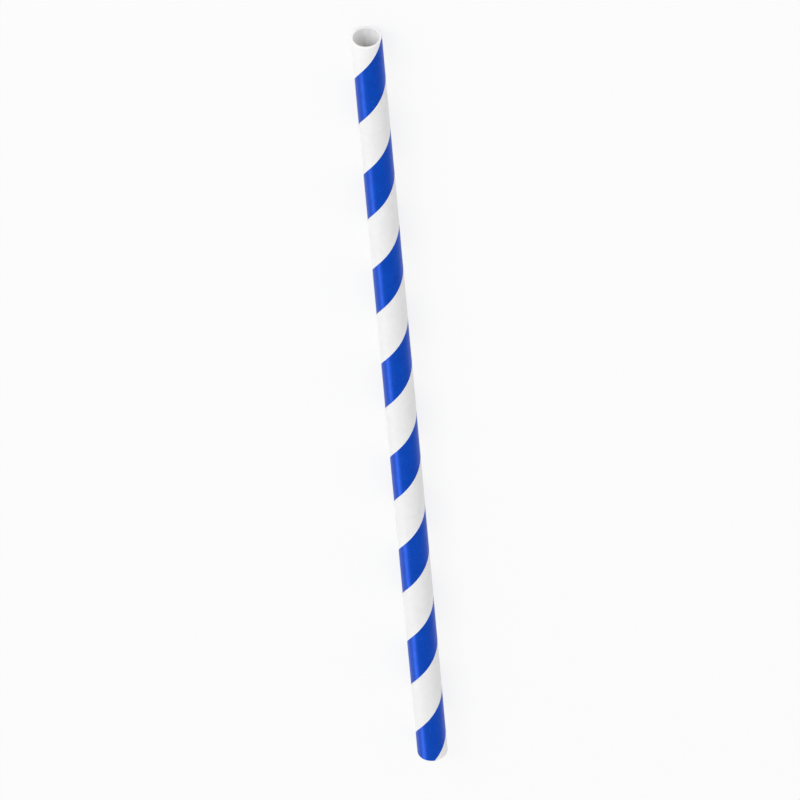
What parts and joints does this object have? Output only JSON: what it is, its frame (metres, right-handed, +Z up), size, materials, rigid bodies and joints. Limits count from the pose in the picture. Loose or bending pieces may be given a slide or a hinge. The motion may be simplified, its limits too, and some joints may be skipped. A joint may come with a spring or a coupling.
{
  "type": "paper drinking straw",
  "caption": "Straight spiral-wound paper tube for drinking, with one printed band winding round it and both ends cut square.",
  "frame": {"origin": "on the surface that the straw lies on, under the middle of its length", "axes": "+X along the straw from its foot to its mouth, +Z up from the surface, +Y across the straw"},
  "size_m": [0.197, 0.006, 0.006],
  "materials": {
    "printed_paper": "satin white paper with one blue printed band"
  },
  "bodies": {
    "root": {"straw_tube": "printed_paper"}
  },
  "joints": []
}
